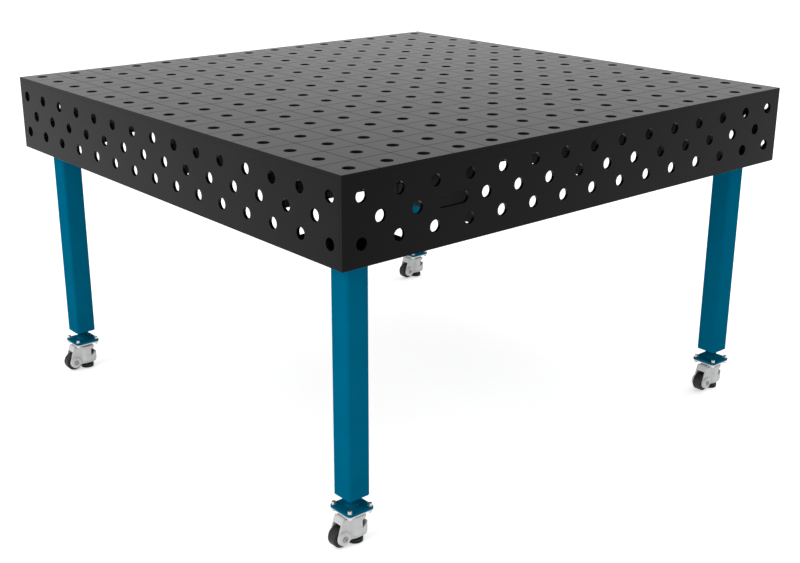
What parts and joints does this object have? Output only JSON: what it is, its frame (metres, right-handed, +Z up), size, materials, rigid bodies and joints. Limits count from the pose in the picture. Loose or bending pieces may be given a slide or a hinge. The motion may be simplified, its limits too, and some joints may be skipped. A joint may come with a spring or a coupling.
{
  "type": "welding table",
  "caption": "Square perforated steel box-top welding table with staggered side-wall holes, on square legs with levelling swivel casters.",
  "frame": {"origin": "on the floor under the centre of the top, level with the bottoms of the wheels", "axes": "+Z up; +X along the longer side of the top; +Y along the shorter side"},
  "size_m": [1.5, 1.48, 0.884],
  "materials": {
    "top_steel": "ground hot-rolled steel with a dark protective layer and fine scribed lines",
    "wall_steel": "dark satin steel",
    "rib_steel": "dark raw steel",
    "black_plate": "matt black",
    "teal_paint": "satin powder coat, petrol blue",
    "zinc": "bright zinc plate",
    "cast_housing": "light grey painted die casting",
    "tread": "black nylon",
    "thumb_wheel": "red plastic with a ribbed rim",
    "foot_rubber": "black rubber"
  },
  "bodies": {
    "table": {"top_plate": "top_steel", "long_wall_near": "wall_steel", "long_wall_far": "wall_steel", "short_wall_left": "wall_steel", "short_wall_right": "wall_steel", "cross_rib_1": "rib_steel", "cross_rib_2": "rib_steel", "cross_rib_3": "rib_steel", "cross_rib_4": "rib_steel", "long_rib_1": "rib_steel", "long_rib_2": "rib_steel", "long_rib_3": "rib_steel", "corner_plate_front": "black_plate", "leg_front": "teal_paint", "leg_insert_front": "teal_paint", "lock_nut_front": "teal_paint", "corner_plate_left": "black_plate", "leg_left": "teal_paint", "leg_insert_left": "teal_paint", "lock_nut_left": "teal_paint", "corner_plate_right": "black_plate", "leg_right": "teal_paint", "leg_insert_right": "teal_paint", "lock_nut_right": "teal_paint", "corner_plate_back": "black_plate", "leg_back": "teal_paint", "leg_insert_back": "teal_paint", "lock_nut_back": "teal_paint"},
    "spindle_front": {"spindle_adapter_front": "teal_paint", "caster_plate_front": "zinc"},
    "caster_front": {"caster_body_front": "cast_housing", "wheel_axle_front": "zinc"},
    "wheel_front": {"wheel_front": "tread"},
    "thumb_wheel_front": {"thumb_wheel_front": "thumb_wheel"},
    "foot_front": {"foot_front": "foot_rubber"},
    "spindle_left": {"spindle_adapter_left": "teal_paint", "caster_plate_left": "zinc"},
    "caster_left": {"caster_body_left": "cast_housing", "wheel_axle_left": "zinc"},
    "wheel_left": {"wheel_left": "tread"},
    "thumb_wheel_left": {"thumb_wheel_left": "thumb_wheel"},
    "foot_left": {"foot_left": "foot_rubber"},
    "spindle_right": {"spindle_adapter_right": "teal_paint", "caster_plate_right": "zinc"},
    "caster_right": {"caster_body_right": "cast_housing", "wheel_axle_right": "zinc"},
    "wheel_right": {"wheel_right": "tread"},
    "thumb_wheel_right": {"thumb_wheel_right": "thumb_wheel"},
    "foot_right": {"foot_right": "foot_rubber"},
    "spindle_back": {"spindle_adapter_back": "teal_paint", "caster_plate_back": "zinc"},
    "caster_back": {"caster_body_back": "cast_housing", "wheel_axle_back": "zinc"},
    "wheel_back": {"wheel_back": "tread"},
    "thumb_wheel_back": {"thumb_wheel_back": "thumb_wheel"},
    "foot_back": {"foot_back": "foot_rubber"}
  },
  "joints": [
    {"name": "spindle_slide_front", "type": "slide", "parent": "table", "child": "spindle_front", "axis": [0, 0, 1], "range_m": [-0.02, 0]},
    {"name": "caster_swivel_front", "type": "hinge", "parent": "spindle_front", "child": "caster_front", "pos_m": [-0.667, -0.657, 0.078], "axis": [0, 0, 1], "continuous": true},
    {"name": "wheel_spin_front", "type": "hinge", "parent": "caster_front", "child": "wheel_front", "pos_m": [-0.7035, -0.657, 0.028], "axis": [0, 1, 0], "continuous": true},
    {"name": "thumb_wheel_turn_front", "type": "hinge", "parent": "caster_front", "child": "thumb_wheel_front", "pos_m": [-0.659, -0.657, 0.0515], "axis": [0, 0, 1], "range_deg": [-360, 1080]},
    {"name": "foot_slide_front", "type": "slide", "parent": "caster_front", "child": "foot_front", "axis": [0, 0, -1], "range_m": [-0.003, 0.009]},
    {"name": "spindle_slide_left", "type": "slide", "parent": "table", "child": "spindle_left", "axis": [0, 0, 1], "range_m": [-0.02, 0]},
    {"name": "caster_swivel_left", "type": "hinge", "parent": "spindle_left", "child": "caster_left", "pos_m": [-0.667, 0.657, 0.078], "axis": [0, 0, 1], "continuous": true},
    {"name": "wheel_spin_left", "type": "hinge", "parent": "caster_left", "child": "wheel_left", "pos_m": [-0.7035, 0.657, 0.028], "axis": [0, 1, 0], "continuous": true},
    {"name": "thumb_wheel_turn_left", "type": "hinge", "parent": "caster_left", "child": "thumb_wheel_left", "pos_m": [-0.659, 0.657, 0.0515], "axis": [0, 0, 1], "range_deg": [-360, 1080]},
    {"name": "foot_slide_left", "type": "slide", "parent": "caster_left", "child": "foot_left", "axis": [0, 0, -1], "range_m": [-0.003, 0.009]},
    {"name": "spindle_slide_right", "type": "slide", "parent": "table", "child": "spindle_right", "axis": [0, 0, 1], "range_m": [-0.02, 0]},
    {"name": "caster_swivel_right", "type": "hinge", "parent": "spindle_right", "child": "caster_right", "pos_m": [0.667, -0.657, 0.078], "axis": [0, 0, 1], "continuous": true},
    {"name": "wheel_spin_right", "type": "hinge", "parent": "caster_right", "child": "wheel_right", "pos_m": [0.6305, -0.657, 0.028], "axis": [0, 1, 0], "continuous": true},
    {"name": "thumb_wheel_turn_right", "type": "hinge", "parent": "caster_right", "child": "thumb_wheel_right", "pos_m": [0.675, -0.657, 0.0515], "axis": [0, 0, 1], "range_deg": [-360, 1080]},
    {"name": "foot_slide_right", "type": "slide", "parent": "caster_right", "child": "foot_right", "axis": [0, 0, -1], "range_m": [-0.003, 0.009]},
    {"name": "spindle_slide_back", "type": "slide", "parent": "table", "child": "spindle_back", "axis": [0, 0, 1], "range_m": [-0.02, 0]},
    {"name": "caster_swivel_back", "type": "hinge", "parent": "spindle_back", "child": "caster_back", "pos_m": [0.667, 0.657, 0.078], "axis": [0, 0, 1], "continuous": true},
    {"name": "wheel_spin_back", "type": "hinge", "parent": "caster_back", "child": "wheel_back", "pos_m": [0.6305, 0.657, 0.028], "axis": [0, 1, 0], "continuous": true},
    {"name": "thumb_wheel_turn_back", "type": "hinge", "parent": "caster_back", "child": "thumb_wheel_back", "pos_m": [0.675, 0.657, 0.0515], "axis": [0, 0, 1], "range_deg": [-360, 1080]},
    {"name": "foot_slide_back", "type": "slide", "parent": "caster_back", "child": "foot_back", "axis": [0, 0, -1], "range_m": [-0.003, 0.009]}
  ],
  "couplings": [
    {"joint": "foot_slide_front", "follows": "thumb_wheel_turn_front", "m_per_rad": 0.000477},
    {"joint": "foot_slide_left", "follows": "thumb_wheel_turn_left", "m_per_rad": 0.000477},
    {"joint": "foot_slide_right", "follows": "thumb_wheel_turn_right", "m_per_rad": 0.000477},
    {"joint": "foot_slide_back", "follows": "thumb_wheel_turn_back", "m_per_rad": 0.000477}
  ]
}
